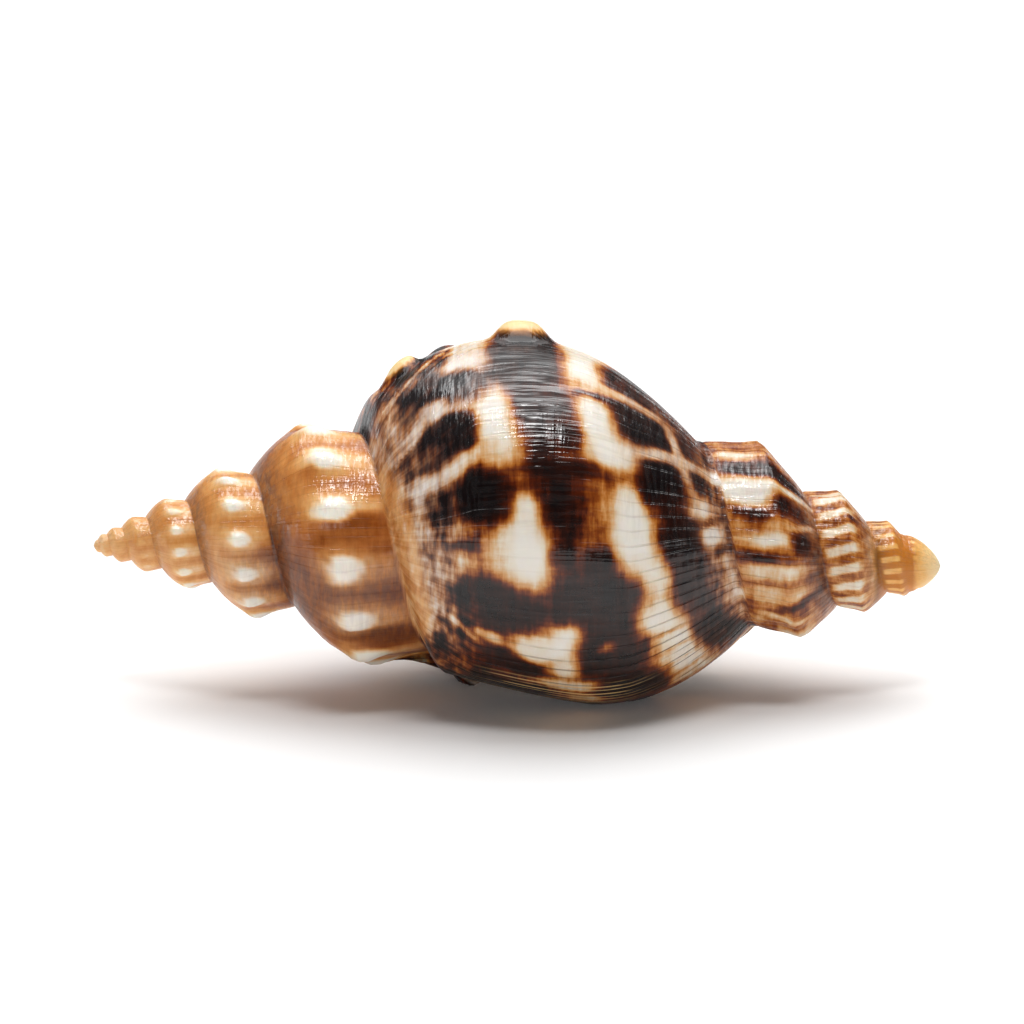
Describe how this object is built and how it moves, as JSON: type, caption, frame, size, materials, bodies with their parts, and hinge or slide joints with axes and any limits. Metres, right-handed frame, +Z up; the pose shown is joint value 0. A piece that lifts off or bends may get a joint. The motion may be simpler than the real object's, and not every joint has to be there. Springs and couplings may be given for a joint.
{
  "type": "whelk-like sea snail shell",
  "caption": "Spindle-shaped spiral sea snail shell with stepped, pointed ends, a swollen body whorl with knobs, and a long opening underneath.",
  "frame": {"origin": "on the ground, under the middle of the shell's bounding box, with the opening facing down", "axes": "+X along the shell from the pale spire to the brown spire, +Z up, -Y towards the side where the outer lip meets the ground"},
  "size_m": [0.06, 0.026, 0.0263],
  "materials": {
    "shell": "glossy calcium carbonate shell, dark brown, amber and cream markings"
  },
  "bodies": {
    "root": {"shell": "shell"}
  },
  "joints": []
}
